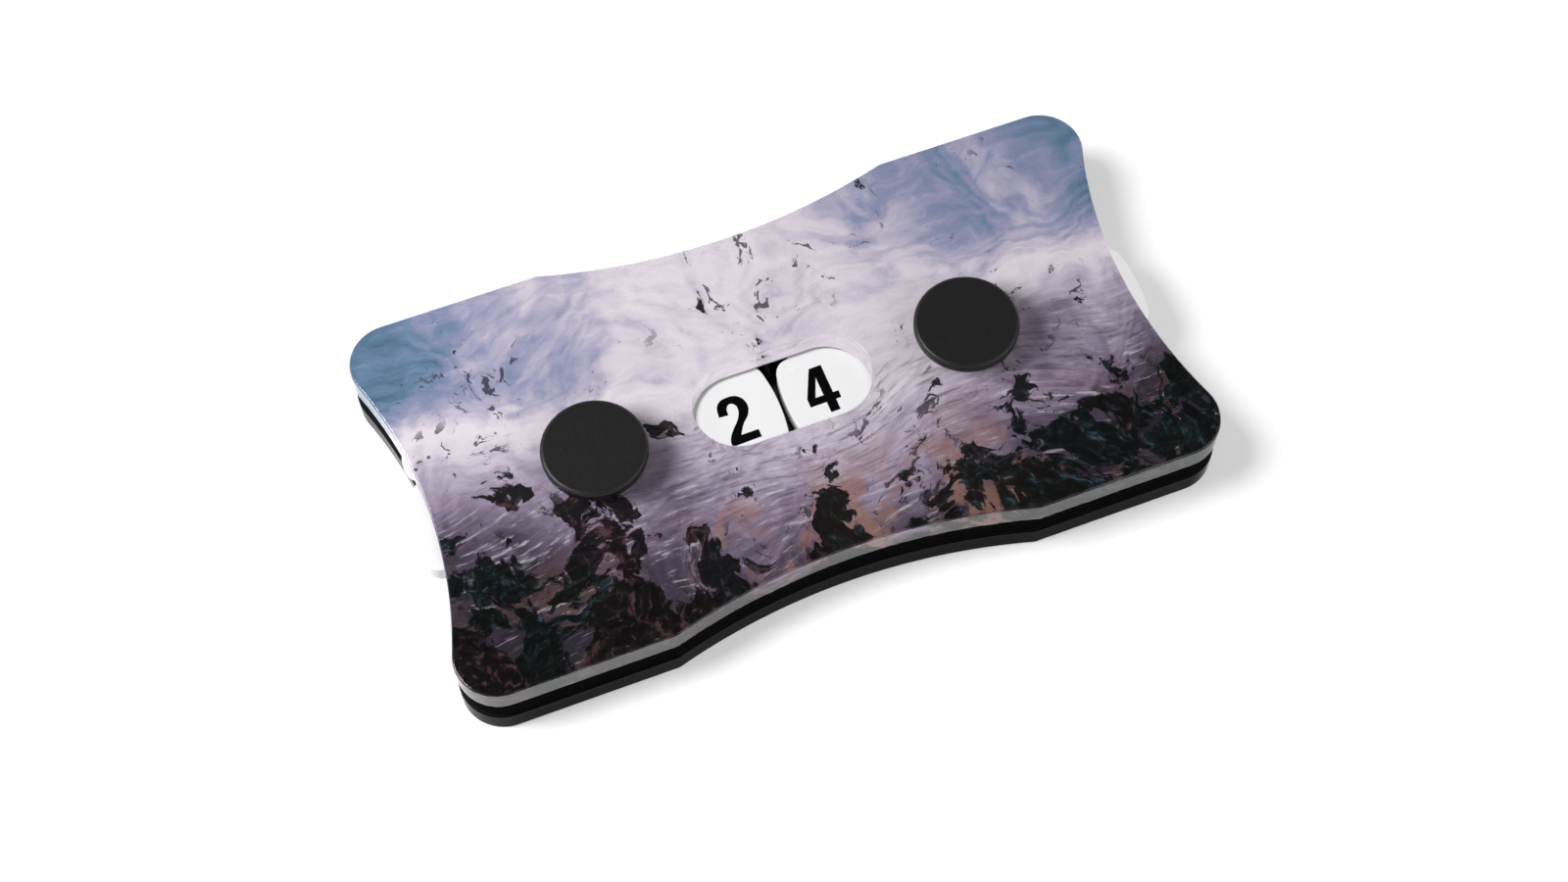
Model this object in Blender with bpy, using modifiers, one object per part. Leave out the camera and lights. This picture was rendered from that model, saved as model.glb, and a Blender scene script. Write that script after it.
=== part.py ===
"""A two-dial life counter: a sandwich of laser-cut acrylic sheets around two numbered thumbwheels.

Run it with: blender --background --python part.py
Lengths are in metres and +Z is up. The counter lies flat, with the centre of its underside at the origin,
the long side along X, the side nearest the player at -Y and the clear cover on top.
"""

import math

import bmesh
import bpy

# The sheets, from the table up: base, thin spacers, rails, printed film, clear cover. The base and the cover
# are 1/8 inch stock. The rails and the wheels are 3/32 inch stock.
OUTER_SHEET_THICKNESS = 0.003175
MIDDLE_SHEET_THICKNESS = 0.00238
SPACER_THICKNESS = 0.0004
FILM_THICKNESS = 0.0001
BOND_GAP = 0.0001

# The thumbwheels, the room that they turn in, and how far each stands turned from straight.
WHEEL_RADIUS = 0.02305
WHEEL_GAP = 0.0007
WHEEL_CLEARANCE = 0.00065
WHEEL_SIDE_GAP = 0.0003
LOBES = 10
NOTCH_DEPTH = 0.0020
NOTCH_RADIUS = 0.0012
LOBE_CORNER_RADIUS = 0.0020
LEFT_WHEEL_TURN = math.radians(1.7)
RIGHT_WHEEL_TURN = math.radians(0.7)

# The outline that all the sheets share: straight shoulders, which start a little inboard of the axles, round
# corners and four hollow sides.
RIM_WALL = 0.0014
WHEEL_SHOWING = 0.0028
END_HOLLOW = 0.0033
SIDE_HOLLOW = 0.00315
SHOULDER_INBOARD = 0.0011
CORNER_RADIUS = 0.00515
FILM_INSET = 0.0002
SPACER_INSET = 0.0004

# The window over the two digits that are read.
WINDOW_LENGTH = 0.0220
WINDOW_WIDTH = 0.0110

# The binding posts, which are the axles, and the screws that close them from below.
CAP_RADIUS = 0.00632
CAP_THICKNESS = 0.0012
CAP_EDGE_RADIUS = 0.00045
BARREL_RADIUS = 0.0025
BARREL_BORE_RADIUS = 0.0016
BARREL_ROOF = 0.0010
SCREW_HEAD_RADIUS = 0.0045
SCREW_HEAD_THICKNESS = 0.0010
SCREW_HEAD_EDGE_RADIUS = 0.0002
SCREW_SLOT_WIDTH = 0.0010
SCREW_SLOT_DEPTH = 0.0005
SCREW_RECESS = 0.0003
THREAD_CLEARANCE = 0.00015
SCREW_TIP_GAP = 0.0010
SEAT_GAP = 0.0002

# The sleeve that keeps the sheets apart at each axle, and the soft washer that holds a wheel in place.
SLEEVE_WALL = 0.0013
RUNNING_CLEARANCE = 0.0001
WASHER_WIDTH = 0.0023
WASHER_THICKNESS = 0.0006

# How finely the round shapes are cut, and how far a cutter runs past what it cuts.
CUTTER_OVERRUN = 0.0010
ROUND_STEPS = 64
CORNER_STEPS = 12
END_STEPS = 10
WAIST_STEPS = 12
NOTCH_STEPS = 6
LOBE_STEPS = 5
LOBE_CORNER_STEPS = 5
EDGE_STEPS = 4
WINDOW_END_STEPS = 20
MERGE_DISTANCE = 0.000001
SHARPEST_SMOOTH_ANGLE = math.radians(30)

# Where each sheet lies. The spacers make the room over and under a wheel.
base_top = OUTER_SHEET_THICKNESS
spacer_bottom = base_top + BOND_GAP
rail_bottom = spacer_bottom + SPACER_THICKNESS + BOND_GAP
rail_top = rail_bottom + MIDDLE_SHEET_THICKNESS
film_bottom = rail_top + BOND_GAP
cover_bottom = film_bottom + FILM_THICKNESS + BOND_GAP
cover_top = cover_bottom + OUTER_SHEET_THICKNESS
wheel_top = film_bottom - WHEEL_SIDE_GAP
wheel_bottom = wheel_top - MIDDLE_SHEET_THICKNESS

# The wheels nearly meet in the middle, and the sheets close round them and leave them showing at the ends.
axle_x = WHEEL_RADIUS + WHEEL_GAP / 2
pocket_radius = WHEEL_RADIUS + WHEEL_CLEARANCE
half_width = pocket_radius + RIM_WALL
half_waist = half_width - SIDE_HOLLOW
end_waist_x = axle_x + WHEEL_RADIUS - WHEEL_SHOWING
half_length = end_waist_x + END_HOLLOW

# What passes through, or sits in, the hole of something else.
barrel_hole_radius = BARREL_RADIUS + SEAT_GAP
screw_radius = BARREL_BORE_RADIUS - THREAD_CLEARANCE
screw_head_bottom = SCREW_RECESS
screw_head_top = screw_head_bottom + SCREW_HEAD_THICKNESS
counterbore_top = screw_head_top + SEAT_GAP
counterbore_radius = SCREW_HEAD_RADIUS + SEAT_GAP
barrel_bottom = counterbore_top
cap_bottom = cover_top + SEAT_GAP
cap_top = cap_bottom + CAP_THICKNESS
barrel_bore_top = cover_top - BARREL_ROOF
screw_tip = barrel_bore_top - SCREW_TIP_GAP
sleeve_bottom = base_top + SEAT_GAP
sleeve_top = film_bottom - SEAT_GAP
sleeve_radius = barrel_hole_radius + SLEEVE_WALL
wheel_bore_radius = sleeve_radius + RUNNING_CLEARANCE
washer_inner_radius = sleeve_radius + SEAT_GAP
washer_outer_radius = washer_inner_radius + WASHER_WIDTH
washer_bottom = base_top + SEAT_GAP
washer_top = washer_bottom + WASHER_THICKNESS
washer_recess_top = washer_top + SEAT_GAP
washer_recess_radius = washer_outer_radius + SEAT_GAP


def arc(centre_x, centre_y, radius, start, end, steps):
    """Points of an arc from the angle start to the angle end, both included."""
    angles = [start + (end - start) * i / steps for i in range(steps + 1)]
    return [(centre_x + radius * math.cos(a), centre_y + radius * math.sin(a)) for a in angles]


def circle(radius, x=0):
    """Points of a circle about a point on the X axis."""
    return arc(x, 0, radius, 0, 2 * math.pi, ROUND_STEPS)[:-1]


def sheet_outline(inset=0):
    """The sheets' shared outline, drawn in by inset all round."""
    shoulder_x = axle_x - SHOULDER_INBOARD
    corner_x = half_length - CORNER_RADIUS
    corner_y = half_width - CORNER_RADIUS

    # The waist arc passes through both shoulders and the narrowest place between them.
    waist_radius = (shoulder_x**2 + SIDE_HOLLOW**2) / (2 * SIDE_HOLLOW)
    waist_y = half_waist + waist_radius
    waist_arc_radius = waist_radius + inset
    shoulder_angle = math.acos((waist_y - half_width + inset) / waist_arc_radius)

    # The end arc has its centre on X and touches the corner's arc without a kink.
    reach = end_waist_x - corner_x
    end_radius = (reach**2 + corner_y**2 - CORNER_RADIUS**2) / (2 * (CORNER_RADIUS - reach))
    end_x = end_waist_x + end_radius
    end_angle = math.atan2(corner_y, end_x - corner_x)

    below = -math.pi / 2
    quarter = arc(0, waist_y, waist_arc_radius, below, below + shoulder_angle, WAIST_STEPS)
    quarter += arc(corner_x, corner_y, CORNER_RADIUS - inset, math.pi / 2, -end_angle, CORNER_STEPS)
    quarter += arc(end_x, 0, end_radius + inset, math.pi - end_angle, math.pi, END_STEPS)[1:]
    right = quarter[:-1] + [(x, -y) for x, y in reversed(quarter)]
    return right[:-1] + [(-x, y) for x, y in reversed(right)][:-1]


def window_outline():
    """The window: a slot with half-round ends."""
    end_radius = WINDOW_WIDTH / 2
    end_x = WINDOW_LENGTH / 2 - end_radius
    quarter_turn = math.pi / 2
    right = arc(end_x, 0, end_radius, -quarter_turn, quarter_turn, WINDOW_END_STEPS)
    return right + [(-x, -y) for x, y in right]


def wheel_outline():
    """A round wheel with a thumb notch between each two lobes, the lobes' corners rounded."""
    notch_x = WHEEL_RADIUS - NOTCH_DEPTH + NOTCH_RADIUS
    corner_reach = WHEEL_RADIUS - LOBE_CORNER_RADIUS
    between = NOTCH_RADIUS + LOBE_CORNER_RADIUS
    corner_angle = math.acos((notch_x**2 + corner_reach**2 - between**2) / (2 * notch_x * corner_reach))
    corner_x = corner_reach * math.cos(corner_angle)
    corner_y = corner_reach * math.sin(corner_angle)
    meeting_angle = math.atan2(corner_y, notch_x - corner_x)
    pitch = 2 * math.pi / LOBES

    # One notch with its middle on +X, from the lobe below it to the lobe above.
    fall = arc(corner_x, -corner_y, LOBE_CORNER_RADIUS, -corner_angle, meeting_angle, LOBE_CORNER_STEPS)
    floor = arc(notch_x, 0, NOTCH_RADIUS, math.pi + meeting_angle, math.pi - meeting_angle, NOTCH_STEPS)
    rise = [(x, -y) for x, y in reversed(fall)]
    lobe = arc(0, 0, WHEEL_RADIUS, corner_angle, pitch - corner_angle, LOBE_STEPS)
    unit = fall + floor[1:-1] + rise[:-1] + lobe[:-1]
    points = []
    for index in range(LOBES):
        turn = (index + 0.5) * pitch
        points += [
            (x * math.cos(turn) - y * math.sin(turn), x * math.sin(turn) + y * math.cos(turn))
            for x, y in unit
        ]
    return points


def clear_scene():
    """Removes whatever Blender opened with."""
    for existing in list(bpy.data.objects):
        bpy.data.objects.remove(existing)


def new_collection(name):
    """A collection in the scene."""
    collection = bpy.data.collections.new(name)
    bpy.context.scene.collection.children.link(collection)
    return collection


def new_material(name, colour, roughness, metallic=0.0, transmission=0.0):
    """A plain Principled material."""
    material = bpy.data.materials.new(name)
    material.use_nodes = True
    shader = material.node_tree.nodes["Principled BSDF"]
    shader.inputs["Base Color"].default_value = (*colour, 1)
    shader.inputs["Roughness"].default_value = roughness
    shader.inputs["Metallic"].default_value = metallic
    shader.inputs["Transmission Weight"].default_value = transmission
    return material


def flat_curve(name, outlines, bottom, thickness, centre_x=0):
    """A flat sheet from closed outlines, the first the edge and the rest its holes."""
    curve = bpy.data.curves.new(name, "CURVE")
    curve.dimensions = "2D"
    curve.fill_mode = "BOTH"
    curve.extrude = thickness / 2
    for outline in outlines:
        spline = curve.splines.new("POLY")
        spline.points.add(len(outline) - 1)
        for point, (x, y) in zip(spline.points, outline):
            point.co = (x, y, 0, 1)
        spline.use_cyclic_u = True
    sheet = bpy.data.objects.new(name, curve)
    sheet.location = (centre_x, 0, bottom + thickness / 2)
    bpy.context.scene.collection.objects.link(sheet)
    return sheet


def as_mesh(curve_object):
    """The same shape as a mesh object, its caps welded on, so that it can be cut."""
    bpy.context.view_layer.update()
    graph = bpy.context.evaluated_depsgraph_get()
    mesh = bpy.data.meshes.new_from_object(curve_object.evaluated_get(graph))
    work = bmesh.new()
    work.from_mesh(mesh)
    bmesh.ops.remove_doubles(work, verts=work.verts, dist=MERGE_DISTANCE)
    bmesh.ops.recalc_face_normals(work, faces=work.faces)
    work.to_mesh(mesh)
    work.free()
    name = curve_object.name
    matrix = curve_object.matrix_world.copy()
    bpy.data.objects.remove(curve_object)
    solid = bpy.data.objects.new(name, mesh)
    solid.matrix_world = matrix
    bpy.context.scene.collection.objects.link(solid)
    return solid


def turned(name, profile, x):
    """A turned solid from (radius, height) points, down the outside from the top, on the axle at x."""
    mesh = bpy.data.meshes.new(name)
    edges = [(i, i + 1) for i in range(len(profile) - 1)]
    mesh.from_pydata([(radius, 0, height) for radius, height in profile], edges, [])
    solid = bpy.data.objects.new(name, mesh)
    solid.location = (x, 0, 0)
    bpy.context.scene.collection.objects.link(solid)
    screw = solid.modifiers.new("Turn", "SCREW")
    screw.steps = ROUND_STEPS
    screw.render_steps = ROUND_STEPS
    screw.use_merge_vertices = True
    screw.merge_threshold = MERGE_DISTANCE
    return solid


def turned_ring(name, inner_radius, outer_radius, bottom, top, x):
    """A plain ring, turned."""
    profile = [
        (inner_radius, top),
        (outer_radius, top),
        (outer_radius, bottom),
        (inner_radius, bottom),
        (inner_radius, top),
    ]
    return turned(name, profile, x)


def box(name, size, centre):
    """A box of the given size about its centre."""
    bpy.ops.mesh.primitive_cube_add(size=1, location=centre)
    solid = bpy.context.object
    solid.name = name
    solid.scale = size
    bpy.ops.object.transform_apply(location=False, rotation=False, scale=True)
    return solid


def move_to(collection, solid):
    """Puts an object in one collection only."""
    for holder in list(solid.users_collection):
        holder.objects.unlink(solid)
    collection.objects.link(solid)


def as_part(solid, material):
    """Gives a piece its material, smooth round faces and its place among the parts."""
    if solid.type == "MESH":
        solid.data.shade_smooth()
        solid.data.set_sharp_from_angle(angle=SHARPEST_SMOOTH_ANGLE)
    solid.data.materials.append(material)
    move_to(parts, solid)
    return solid


def cut(solid, cutter):
    """Cuts the cutter's shape out of the solid."""
    cutter.hide_render = True
    cutter.display_type = "WIRE"
    if cutter.name not in cutters.objects:
        move_to(cutters, cutter)
    boolean = solid.modifiers.new(cutter.name, "BOOLEAN")
    boolean.operation = "DIFFERENCE"
    boolean.solver = "EXACT"
    boolean.object = cutter


def base_cutter(name, x):
    """The stepped hole under one axle: a counterbore for the screw's head and a hole for the barrel."""
    profile = [
        (0, base_top + CUTTER_OVERRUN),
        (barrel_hole_radius, base_top + CUTTER_OVERRUN),
        (barrel_hole_radius, counterbore_top),
        (counterbore_radius, counterbore_top),
        (counterbore_radius, -CUTTER_OVERRUN),
        (0, -CUTTER_OVERRUN),
    ]
    return turned(name, profile, x)


def make_base_plate():
    """The black sheet that lies on the table, with a recess under each axle."""
    plate = as_mesh(flat_curve("base_plate", [sheet_outline()], 0, OUTER_SHEET_THICKNESS))
    cut(plate, base_cutter("left_base_cutter", -axle_x))
    cut(plate, base_cutter("right_base_cutter", axle_x))
    return as_part(plate, black_acrylic)


def make_pocket_cutter(name, x):
    """The round pocket that one wheel turns in."""
    top = rail_top + CUTTER_OVERRUN
    bottom = spacer_bottom - CUTTER_OVERRUN
    return turned(name, [(0, top), (pocket_radius, top), (pocket_radius, bottom), (0, bottom)], x)


def make_half_cutter(name, side):
    """A block over the whole of one side, which leaves only the other side's strip."""
    height = rail_top - spacer_bottom + 2 * CUTTER_OVERRUN
    size = (2 * (half_length + CUTTER_OVERRUN), half_width + CUTTER_OVERRUN, height)
    return box(name, size, (0, side * size[1] / 2, (rail_top + spacer_bottom) / 2))


def make_strip(name, inset, bottom, thickness, pocket_and_half_cutters, material):
    """A strip of the sheets' outline on one side of the wheels."""
    strip = as_mesh(flat_curve(name, [sheet_outline(inset)], bottom, thickness))
    for cutter in pocket_and_half_cutters:
        cut(strip, cutter)
    return as_part(strip, material)


def make_rail(name, cutters_of_side):
    """A black rail between base and cover, which closes round both wheels."""
    make_strip(name, 0, rail_bottom, MIDDLE_SHEET_THICKNESS, cutters_of_side, black_acrylic)


def make_spacer(name, cutters_of_side):
    """The thin black tape under a rail, set back from the edge, which frees the wheels."""
    make_strip(name, SPACER_INSET, spacer_bottom, SPACER_THICKNESS, cutters_of_side, black_tape)


def pierced_outlines(inset):
    """A sheet's edge with the window and the two barrel holes."""
    holes = [circle(barrel_hole_radius, -axle_x), circle(barrel_hole_radius, axle_x)]
    return [sheet_outline(inset), window_outline()] + holes


def make_picture_film():
    """The printed film on the cover's underside."""
    film = flat_curve("picture_film", pierced_outlines(FILM_INSET), film_bottom, FILM_THICKNESS)
    return as_part(film, printed_film)


def make_cover_plate():
    """The clear sheet on top, with the window and the two barrel holes."""
    cover = flat_curve("cover_plate", pierced_outlines(0), cover_bottom, OUTER_SHEET_THICKNESS)
    return as_part(cover, clear_acrylic)


def make_wheel(name, x, turn):
    """A white thumbwheel, with its bore and the washer's recess in its underside."""
    outlines = [wheel_outline(), circle(wheel_bore_radius)]
    wheel = as_mesh(flat_curve(name, outlines, wheel_bottom, MIDDLE_SHEET_THICKNESS, x))
    wheel.rotation_euler.z = turn
    profile = [
        (0, washer_recess_top),
        (washer_recess_radius, washer_recess_top),
        (washer_recess_radius, wheel_bottom - CUTTER_OVERRUN),
        (0, wheel_bottom - CUTTER_OVERRUN),
    ]
    cut(wheel, turned(name + "_recess_cutter", profile, x))
    return as_part(wheel, white_acrylic)


def make_post(name, x):
    """A binding post: a round cap with a softened edge on a hollow barrel."""
    edge = arc(
        CAP_RADIUS - CAP_EDGE_RADIUS, cap_top - CAP_EDGE_RADIUS, CAP_EDGE_RADIUS, math.pi / 2, 0, EDGE_STEPS
    )
    profile = [(0, cap_top)] + edge
    profile += [
        (CAP_RADIUS, cap_bottom),
        (BARREL_RADIUS, cap_bottom),
        (BARREL_RADIUS, barrel_bottom),
        (BARREL_BORE_RADIUS, barrel_bottom),
        (BARREL_BORE_RADIUS, barrel_bore_top),
        (0, barrel_bore_top),
    ]
    return as_part(turned(name, profile, x), satin_black)


def make_screw(name, x):
    """A binding screw: a slotted flat head under the base and a shank inside the barrel."""
    edge = arc(
        SCREW_HEAD_RADIUS - SCREW_HEAD_EDGE_RADIUS,
        screw_head_bottom + SCREW_HEAD_EDGE_RADIUS,
        SCREW_HEAD_EDGE_RADIUS,
        0,
        -math.pi / 2,
        EDGE_STEPS,
    )
    profile = [(0, screw_tip), (screw_radius, screw_tip), (screw_radius, screw_head_top)]
    profile += [(SCREW_HEAD_RADIUS, screw_head_top)] + edge + [(0, screw_head_bottom)]
    screw = turned(name, profile, x)
    slot_size = (
        2 * (SCREW_HEAD_RADIUS + CUTTER_OVERRUN),
        SCREW_SLOT_WIDTH,
        SCREW_SLOT_DEPTH + CUTTER_OVERRUN,
    )
    slot_middle = screw_head_bottom + SCREW_SLOT_DEPTH - slot_size[2] / 2
    cut(screw, box(name + "_slot_cutter", slot_size, (x, 0, slot_middle)))
    return as_part(screw, satin_black)


def make_sleeve(name, x):
    """The bush round the barrel that the wheel turns on."""
    ring = turned_ring(name, barrel_hole_radius, sleeve_radius, sleeve_bottom, sleeve_top, x)
    return as_part(ring, natural_nylon)


def make_friction_washer(name, x):
    """The soft washer in the wheel's underside."""
    ring = turned_ring(name, washer_inner_radius, washer_outer_radius, washer_bottom, washer_top, x)
    return as_part(ring, soft_rubber)


clear_scene()
parts = new_collection("life_counter")
cutters = new_collection("cutters")

black_acrylic = new_material("black_acrylic", (0.012, 0.012, 0.013), 0.12)
clear_acrylic = new_material("clear_acrylic", (0.93, 0.95, 0.96), 0.03, transmission=1.0)
white_acrylic = new_material("white_acrylic", (0.86, 0.86, 0.87), 0.22)
printed_film = new_material("printed_film", (0.42, 0.37, 0.48), 0.45)
satin_black = new_material("satin_black", (0.020, 0.019, 0.020), 0.42)
natural_nylon = new_material("natural_nylon", (0.74, 0.71, 0.63), 0.50)
soft_rubber = new_material("soft_rubber", (0.022, 0.022, 0.022), 0.80)
black_tape = new_material("black_tape", (0.010, 0.010, 0.010), 0.90)

make_base_plate()
wheel_pockets = [
    make_pocket_cutter("left_pocket_cutter", -axle_x),
    make_pocket_cutter("right_pocket_cutter", axle_x),
]
for side_name, other_side in (("rear", -1), ("front", 1)):
    side_cutters = wheel_pockets + [make_half_cutter(side_name + "_half_cutter", other_side)]
    make_spacer(side_name + "_spacer", side_cutters)
    make_rail(side_name + "_rail", side_cutters)
make_picture_film()
make_cover_plate()
for side_name, side_x, side_turn in (
    ("left", -axle_x, LEFT_WHEEL_TURN),
    ("right", axle_x, RIGHT_WHEEL_TURN),
):
    make_wheel(side_name + "_wheel", side_x, side_turn)
    make_sleeve(side_name + "_sleeve", side_x)
    make_friction_washer(side_name + "_friction_washer", side_x)
    make_post(side_name + "_post", side_x)
    make_screw(side_name + "_screw", side_x)
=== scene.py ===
"""A two-dial life counter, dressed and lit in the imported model's frame.

Lengths are in metres. The counter lies flat with +Z up, its long side along X and the player at -Y.
"""

import math

import bmesh
import bpy
from mathutils import Matrix, Vector


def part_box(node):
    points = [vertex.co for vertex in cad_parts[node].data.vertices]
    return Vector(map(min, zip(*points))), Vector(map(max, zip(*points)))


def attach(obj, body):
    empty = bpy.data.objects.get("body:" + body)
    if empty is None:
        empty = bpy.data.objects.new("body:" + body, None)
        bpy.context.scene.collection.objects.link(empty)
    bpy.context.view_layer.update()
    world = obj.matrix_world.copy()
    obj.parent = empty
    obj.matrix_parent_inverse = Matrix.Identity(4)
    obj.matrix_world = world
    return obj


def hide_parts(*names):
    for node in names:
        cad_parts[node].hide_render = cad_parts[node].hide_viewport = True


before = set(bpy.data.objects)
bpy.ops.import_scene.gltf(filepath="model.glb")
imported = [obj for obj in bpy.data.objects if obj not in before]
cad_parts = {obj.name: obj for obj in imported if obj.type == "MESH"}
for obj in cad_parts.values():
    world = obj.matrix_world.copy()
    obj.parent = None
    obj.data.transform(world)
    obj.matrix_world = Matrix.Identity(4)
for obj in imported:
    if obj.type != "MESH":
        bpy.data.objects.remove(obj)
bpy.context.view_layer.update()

# The base is a sheet of black 1/8 inch acrylic, cut by laser. Its outline has straight shoulders, round
# corners and four hollow sides. Two stepped holes in its underside take the heads of the binding screws.
OUTLINE_HALF_LENGTH = 0.04695
OUTLINE_HALF_WIDTH = 0.0251
END_HOLLOW = 0.0033
SIDE_HOLLOW = 0.00315
SHOULDER_X = 0.0223
CORNER_RADIUS = 0.00515
AXLE_X = 0.0234
SOFTENED_RIM = 0.00024
BASE_RIM = 0.00012
RIM_HOLD = 0.00004
RIM_STEPS = 4
BARREL_HOLE_RADIUS = 0.0027
COUNTERBORE_RADIUS = 0.0047
COUNTERBORE_DEPTH = 0.0015
WAIST_STEPS = 28
CORNER_STEPS = 18
END_STEPS = 18
HOLE_STEPS = 72
MERGE = 0.0000005
LEVEL_FACE = 0.999
ACRYLIC_IOR = 1.49
NOISE_SPAN = (0.3, 0.7)
# The cut edges' black is far darker than the flat faces': partly the dull finish of a laser cut, partly
# painted shade that keeps the upright edges dark.
FACE_BLACK = (0.018, 0.017, 0.0185, 1)
BASE_EDGE_BLACK_WITH_PAINTED_SHADE = (0.0018, 0.0016, 0.0020, 1)
BASE_EDGE_SHINE = 0.019
ACRYLIC_SHINE = 0.5
CUT_LINES_PER_METRE = 5200
CUT_LINE_STRETCH = (1, 1, 0.015)
CUT_LINE_DEPTH = 0.000008
CUT_LINE_FADE = 6.0

# Patches of gloss: how many to the metre, their detail, their least and most roughness, and maybe a stretch.
BASE_EDGE_PATCHES = (90, 3, 0.10, 0.16)
FACE_PATCHES = (160, 4, 0.10, 0.22)


def drawn_arc(work, start, centre, angle, steps, axis=(0, 0, 1)):
    """Draws on from a point round a centre, and gives the last point."""
    spun = bmesh.ops.spin(work, geom=[start], cent=centre, axis=axis, angle=angle, steps=steps)
    return [item for item in spun["geom_last"] if isinstance(item, bmesh.types.BMVert)][0]


def drawn_line(work, start, place):
    """Draws a straight line on from a point, and gives its far end."""
    end = work.verts.new(place)
    work.edges.new((start, end))
    return end


def all_of(work):
    """The points and edges that a mesh holds so far."""
    return set(work.verts) | set(work.edges)


def drawn_since(work, before):
    """The points and edges that were drawn since then, in the order of the mesh."""
    return [v for v in work.verts if v not in before] + [e for e in work.edges if e not in before]


def closed_by_mirror(work, before, axes):
    """Mirrors what was drawn since before into a closed loop, and gives the loop's edges."""
    for axis in axes:
        bmesh.ops.mirror(work, geom=drawn_since(work, before), merge_dist=MERGE, axis=axis)
    fresh = [v for v in work.verts if v not in before]
    bmesh.ops.remove_doubles(work, verts=fresh, dist=MERGE)
    return [e for e in work.edges if e not in before]


def sheet_quarter(work, inset, height):
    """Draws a sheet's waist and corner at the near side's right.

    Gives the last point, and the centre, radius and angle of the arc that hollows the end.
    """
    waist_radius = (SHOULDER_X**2 + SIDE_HOLLOW**2) / (2 * SIDE_HOLLOW)
    waist_y = OUTLINE_HALF_WIDTH - SIDE_HOLLOW + waist_radius
    corner_x = OUTLINE_HALF_LENGTH - CORNER_RADIUS
    corner_y = OUTLINE_HALF_WIDTH - CORNER_RADIUS
    reach = OUTLINE_HALF_LENGTH - END_HOLLOW - corner_x
    end_radius = (reach**2 + corner_y**2 - CORNER_RADIUS**2) / (2 * (CORNER_RADIUS - reach))
    end_x = OUTLINE_HALF_LENGTH - END_HOLLOW + end_radius
    end_angle = math.atan2(corner_y, end_x - corner_x)
    shoulder_angle = math.acos((waist_y - OUTLINE_HALF_WIDTH + inset) / (waist_radius + inset))
    start = work.verts.new((0, -(waist_y - waist_radius - inset), height))
    shoulder = drawn_arc(work, start, (0, -waist_y, height), -shoulder_angle, WAIST_STEPS)
    corner = drawn_line(work, shoulder, (corner_x, -(OUTLINE_HALF_WIDTH - inset), height))
    turned_to = math.pi / 2 + end_angle
    last = drawn_arc(work, corner, (corner_x, -corner_y, height), turned_to, CORNER_STEPS)
    return last, end_x, end_radius + inset, end_angle


def sheet_loop(work, inset, height):
    """The closed outline that the sheets share, drawn in by inset."""
    before = all_of(work)
    last, end_x, end_radius, end_angle = sheet_quarter(work, inset, height)
    drawn_arc(work, last, (end_x, 0, height), -end_angle, END_STEPS)
    return closed_by_mirror(work, before, "YX")


def rim_levels(bottom, top, softened, under_softened):
    """How far in and how high each loop of a sheet's edge lies, for the two radii of its rims."""
    half = []
    for rim in (under_softened, softened):
        turn = [math.pi / 2 * step / RIM_STEPS for step in range(RIM_STEPS + 1)]
        half.append([(rim * (1 - math.sin(angle)), rim * (1 - math.cos(angle))) for angle in turn])
        half[-1].append((0, rim + RIM_HOLD))
    under = [(inset, bottom + up) for inset, up in half[0]]
    return under + [(inset, top - down) for inset, down in reversed(half[1])]


def wall(work, loops):
    """Joins a row of closed loops into a wall, and gives the first loop and the last."""
    for lower, upper in zip(loops, loops[1:]):
        bmesh.ops.bridge_loops(work, edges=lower + upper)
    return loops[0], loops[-1]


def turned_wall(work, x, profile):
    """Turns a row of radii and heights about an axle, and gives the first rim and the last."""
    before = all_of(work)
    tip = work.verts.new((x + profile[0][0], 0, profile[0][1]))
    for radius, height in profile[1:]:
        tip = drawn_line(work, tip, (x + radius, 0, height))
    bmesh.ops.spin(
        work,
        geom=drawn_since(work, before),
        cent=(x, 0, 0),
        axis=(0, 0, 1),
        angle=2 * math.pi,
        steps=HOLE_STEPS,
        use_merge=True,
    )
    rims = [e for e in work.edges if e not in before and len(e.link_faces) == 1]
    return [[e for e in rims if abs(e.verts[0].co.z - end[1]) < MERGE] for end in (profile[0], profile[-1])]


def flat_face(work, loops):
    """Fills the flat face between an outer loop and the holes in it, with a crisp line round it."""
    edges = [edge for loop in loops for edge in loop]
    bmesh.ops.triangle_fill(work, use_beauty=True, edges=edges)
    for edge in edges:
        edge.smooth = False


def finished(work, name, finishes, body, replaced=()):
    """Makes a piece of a mesh and puts it on its body. A second finish goes on its flat faces."""
    bmesh.ops.recalc_face_normals(work, faces=work.faces)
    for face in work.faces:
        face.smooth = True
        face.material_index = int(len(finishes) > 1 and abs(face.normal.z) > LEVEL_FACE)
    mesh = bpy.data.meshes.new(name)
    work.to_mesh(mesh)
    work.free()
    for finish in finishes:
        mesh.materials.append(finish)
    piece = bpy.data.objects.new(name, mesh)
    bpy.context.scene.collection.objects.link(piece)
    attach(piece, body)
    if replaced:
        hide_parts(*replaced)
    return piece


def new_node(tree, kind, links=None, **settings):
    """Adds a shader node, with its settings and with what feeds its sockets."""
    node = tree.nodes.new(kind)
    for name, value in settings.items():
        setattr(node, name, value)
    for socket, value in (links or {}).items():
        if isinstance(value, bpy.types.NodeSocket):
            tree.links.new(value, node.inputs[socket])
        else:
            node.inputs[socket].default_value = value
    return node


def maths(tree, operation, first, second=0.0, third=0.0):
    """One sum between shader nodes."""
    return new_node(tree, "ShaderNodeMath", {0: first, 1: second, 2: third}, operation=operation).outputs[0]


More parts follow.
